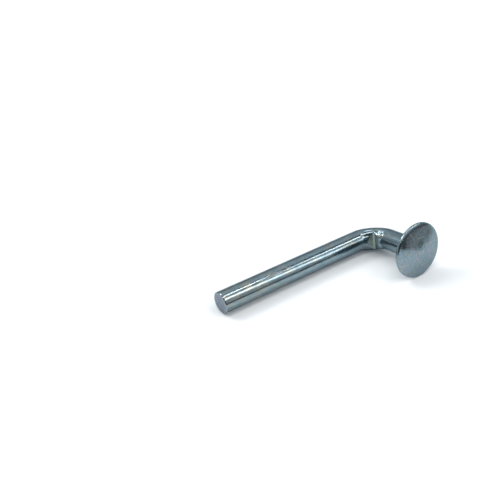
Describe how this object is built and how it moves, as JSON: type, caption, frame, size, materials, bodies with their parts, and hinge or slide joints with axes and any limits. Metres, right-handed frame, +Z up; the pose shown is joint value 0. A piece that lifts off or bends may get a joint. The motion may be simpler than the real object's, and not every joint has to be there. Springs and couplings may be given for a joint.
{
  "type": "pallet rack drop pin",
  "caption": "Bent round steel pin with a long straight shank, a tight right-angle bend and a short arm ending in a flat upset head; drops through aligned holes to lock a rack beam.",
  "frame": {"origin": "middle of the pin's bounding box, on the surface it lies on", "axes": "+Z up; shank along X with its free tip at -X and the bend at +X; arm towards -Y, rising about 15 degrees to the head, whose rim rests on the surface"},
  "size_m": [0.081, 0.0292, 0.0201],
  "materials": {
    "zinc_plated_steel": "bright zinc plate over drawn steel"
  },
  "bodies": {
    "root": {"drop_pin": "zinc_plated_steel"}
  },
  "joints": []
}
